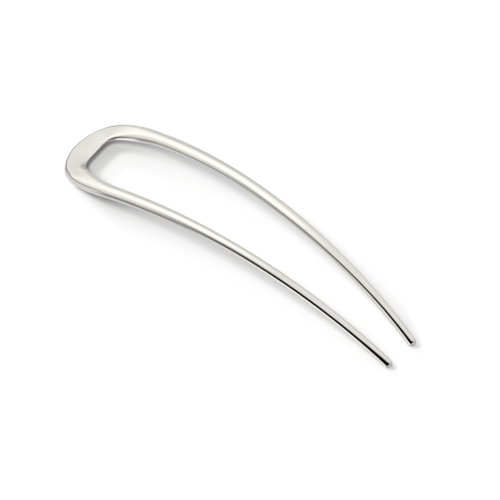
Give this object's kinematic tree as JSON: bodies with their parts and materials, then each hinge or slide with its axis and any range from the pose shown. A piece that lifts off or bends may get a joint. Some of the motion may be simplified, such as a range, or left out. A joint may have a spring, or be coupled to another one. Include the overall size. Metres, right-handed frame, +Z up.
{
  "type": "french hair pin",
  "caption": "Two-pronged bowed hair pin: one round metal rod bent into a narrow U, hammered flat at the crown and tapering to rounded tips.",
  "frame": {"origin": "centre of the bounding box in X and Y, at the height of the surface that the pin lies on", "axes": "+X from the crown to the tips of the prongs, +Y across from prong to prong, +Z up, on the bulging side of the bow"},
  "size_m": [0.1086, 0.0248, 0.0189],
  "materials": {
    "polished_silver": "polished"
  },
  "bodies": {
    "root": {"hair_pin": "polished_silver"}
  },
  "joints": []
}
